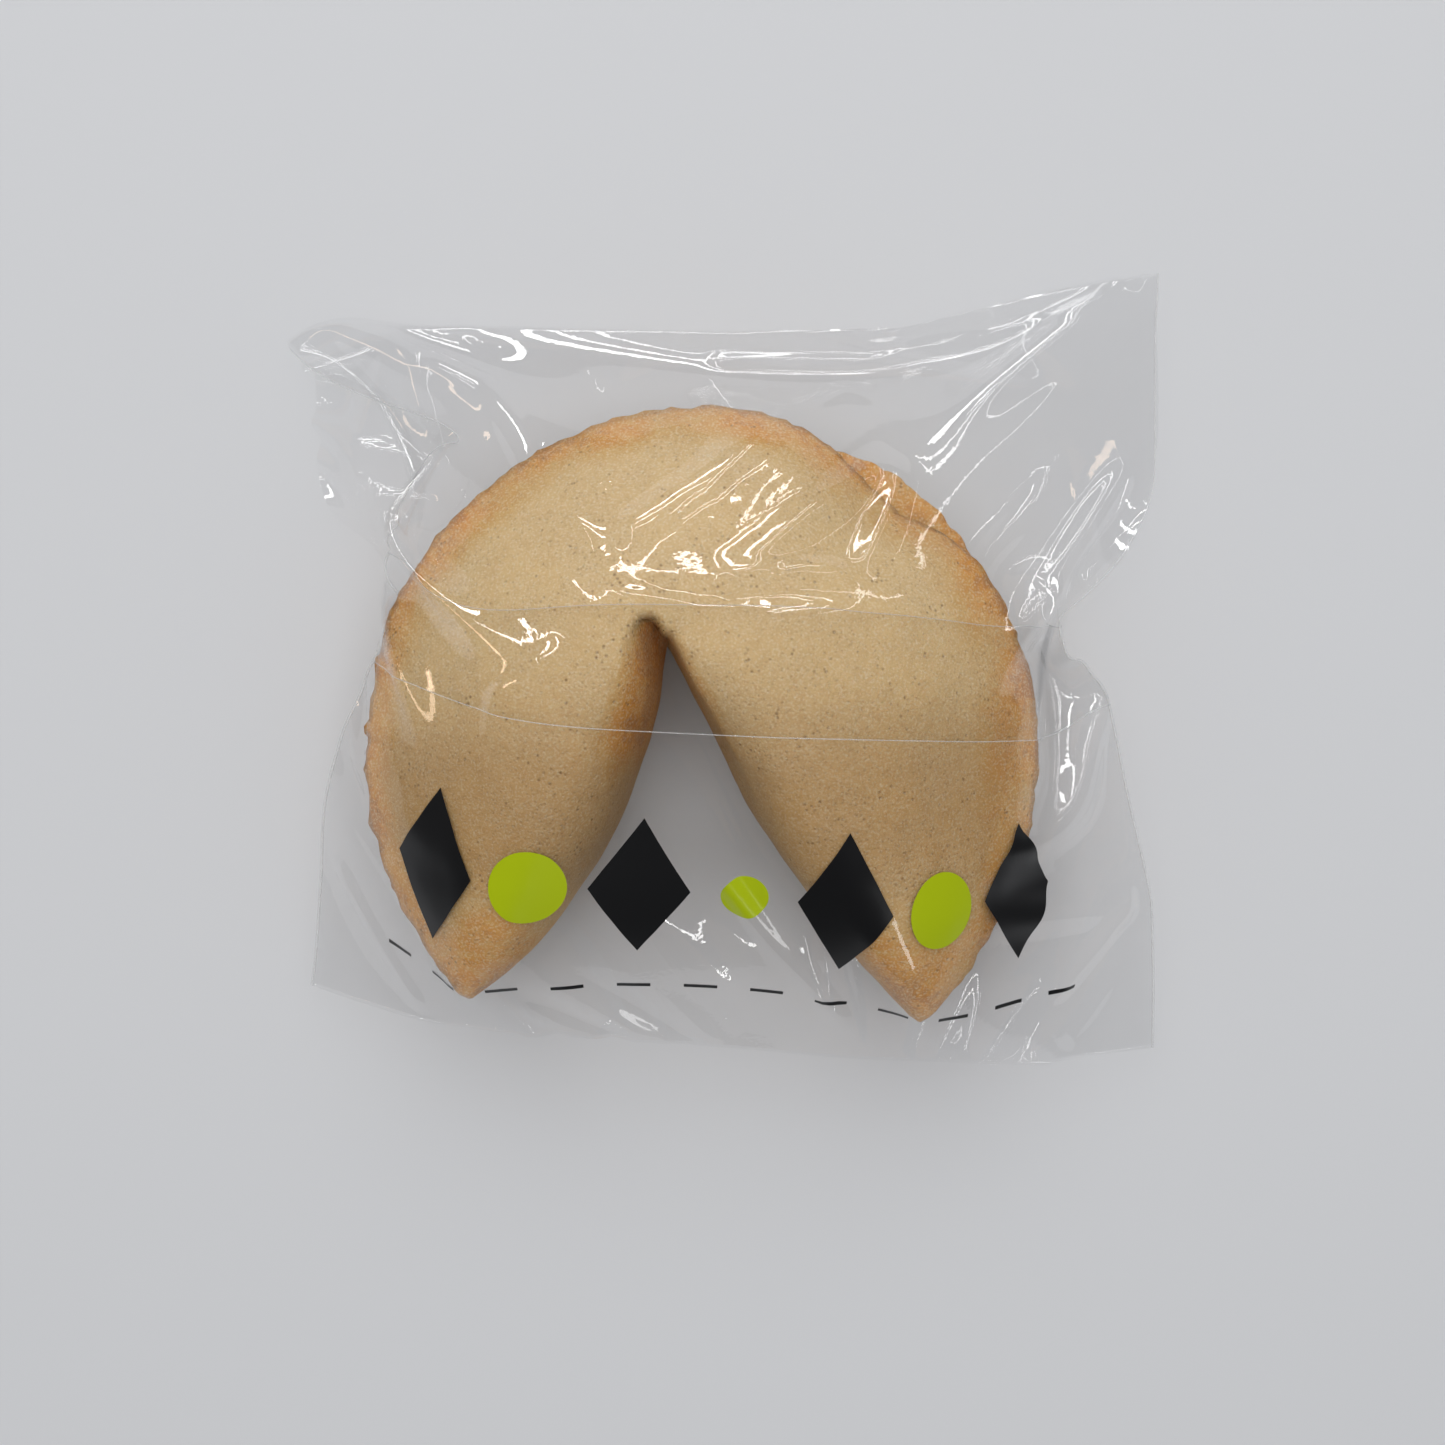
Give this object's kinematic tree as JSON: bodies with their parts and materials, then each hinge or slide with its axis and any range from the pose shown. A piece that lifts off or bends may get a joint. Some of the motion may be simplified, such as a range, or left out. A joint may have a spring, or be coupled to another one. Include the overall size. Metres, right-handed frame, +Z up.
{
  "type": "fortune cookie",
  "caption": "Folded fortune cookie lying in a small clear film bag with a folded-over flap and creased corners.",
  "frame": {"origin": "on the resting plane, under the middle of the bag's box", "axes": "+X along the bag's folded top edge, to the right as the print is read; +Y from the sealed bottom edge to the folded top edge; +Z up through the cookie"},
  "size_m": [0.0922, 0.084, 0.0316],
  "materials": {
    "clear_film": "thin clear glossy plastic film",
    "baked_cookie": "matt baked wafer, tan with browned rims",
    "black_ink": "printed ink on film",
    "green_ink": "printed ink on film"
  },
  "bodies": {
    "root": {"sealed_bag": "clear_film"}
  },
  "joints": []
}
